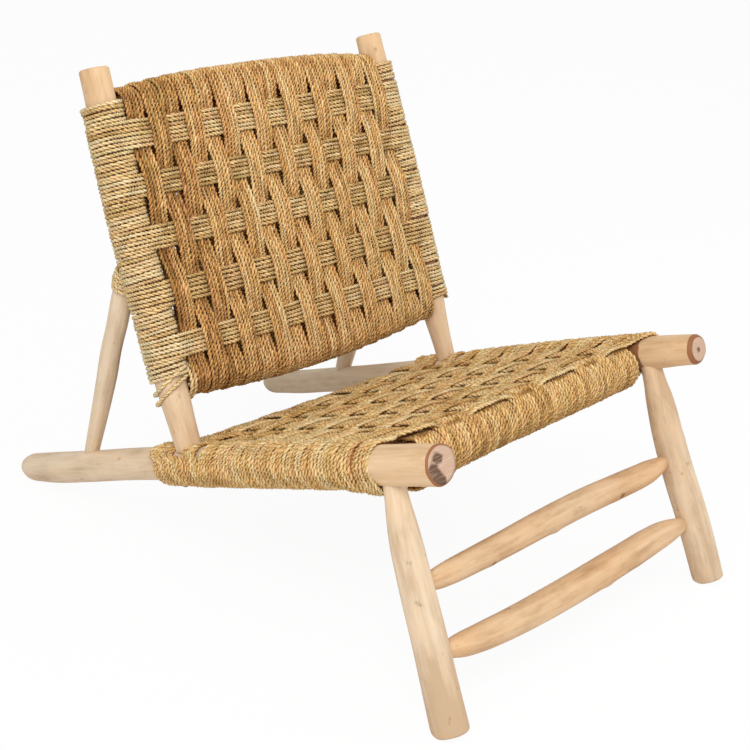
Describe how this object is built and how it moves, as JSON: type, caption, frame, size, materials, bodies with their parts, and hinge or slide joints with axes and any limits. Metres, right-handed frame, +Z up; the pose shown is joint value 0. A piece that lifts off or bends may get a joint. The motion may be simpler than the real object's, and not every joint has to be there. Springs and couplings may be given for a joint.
{
  "type": "lounge chair",
  "caption": "Low lounge chair of peeled round branches with a woven rope seat and back; the long sloping seat rails reach the floor behind and struts prop the leaning back.",
  "frame": {"origin": "on the floor, under the middle of the chair's overall box", "axes": "+Z up, +Y towards the back, +X across to the right as seen from the front, so the sitter faces -Y"},
  "size_m": [0.6167, 0.9842, 0.6963],
  "materials": {
    "pale_wood": "peeled and sanded, dry, matt",
    "tan_wood": "peeled, smooth, matt",
    "warp_rope": "twisted plant fibre, dry, coarse",
    "straw_rope": "twisted plant fibre, pale straw, coarse",
    "seat_rope": "twisted plant fibre, golden, coarse"
  },
  "bodies": {
    "root": {"back_bottom_crossbar": "tan_wood", "back_top_crossbar": "tan_wood", "back_warp_01": "warp_rope", "back_warp_02": "warp_rope", "back_warp_03": "warp_rope", "back_warp_04": "warp_rope", "back_warp_05": "warp_rope", "back_warp_06": "warp_rope", "back_warp_07": "warp_rope", "back_warp_08": "warp_rope", "back_warp_09": "warp_rope", "back_warp_10": "warp_rope", "back_warp_11": "warp_rope", "back_warp_12": "warp_rope", "back_warp_13": "warp_rope", "back_warp_14": "warp_rope", "back_warp_15": "warp_rope", "back_warp_16": "warp_rope", "back_weft_1": "straw_rope", "back_weft_2": "straw_rope", "back_weft_3": "straw_rope", "back_weft_4": "straw_rope", "back_weft_5": "straw_rope", "left_back_post": "pale_wood", "left_front_leg": "pale_wood", "left_post_binding": "straw_rope", "left_rear_strut": "pale_wood", "left_seat_rail": "pale_wood", "lower_front_stretcher": "tan_wood", "right_back_post": "pale_wood", "right_front_leg": "pale_wood", "right_post_binding": "straw_rope", "right_rear_strut": "pale_wood", "right_seat_rail": "pale_wood", "seat_cross_01": "seat_rope", "seat_cross_02": "seat_rope", "seat_cross_03": "seat_rope", "seat_cross_04": "seat_rope", "seat_cross_05": "seat_rope", "seat_cross_06": "seat_rope", "seat_cross_07": "seat_rope", "seat_cross_08": "seat_rope", "seat_cross_09": "seat_rope", "seat_cross_10": "seat_rope", "seat_cross_11": "seat_rope", "seat_cross_12": "seat_rope", "seat_cross_13": "seat_rope", "seat_cross_14": "seat_rope", "seat_front_binding": "seat_rope", "seat_front_crossbar": "tan_wood", "seat_long_1": "seat_rope", "seat_long_2": "seat_rope", "seat_long_3": "seat_rope", "seat_long_4": "seat_rope", "seat_long_5": "seat_rope", "seat_long_6": "seat_rope", "seat_long_7": "seat_rope", "seat_rear_binding": "seat_rope", "seat_rear_crossbar": "tan_wood", "upper_front_stretcher": "tan_wood"}
  },
  "joints": []
}
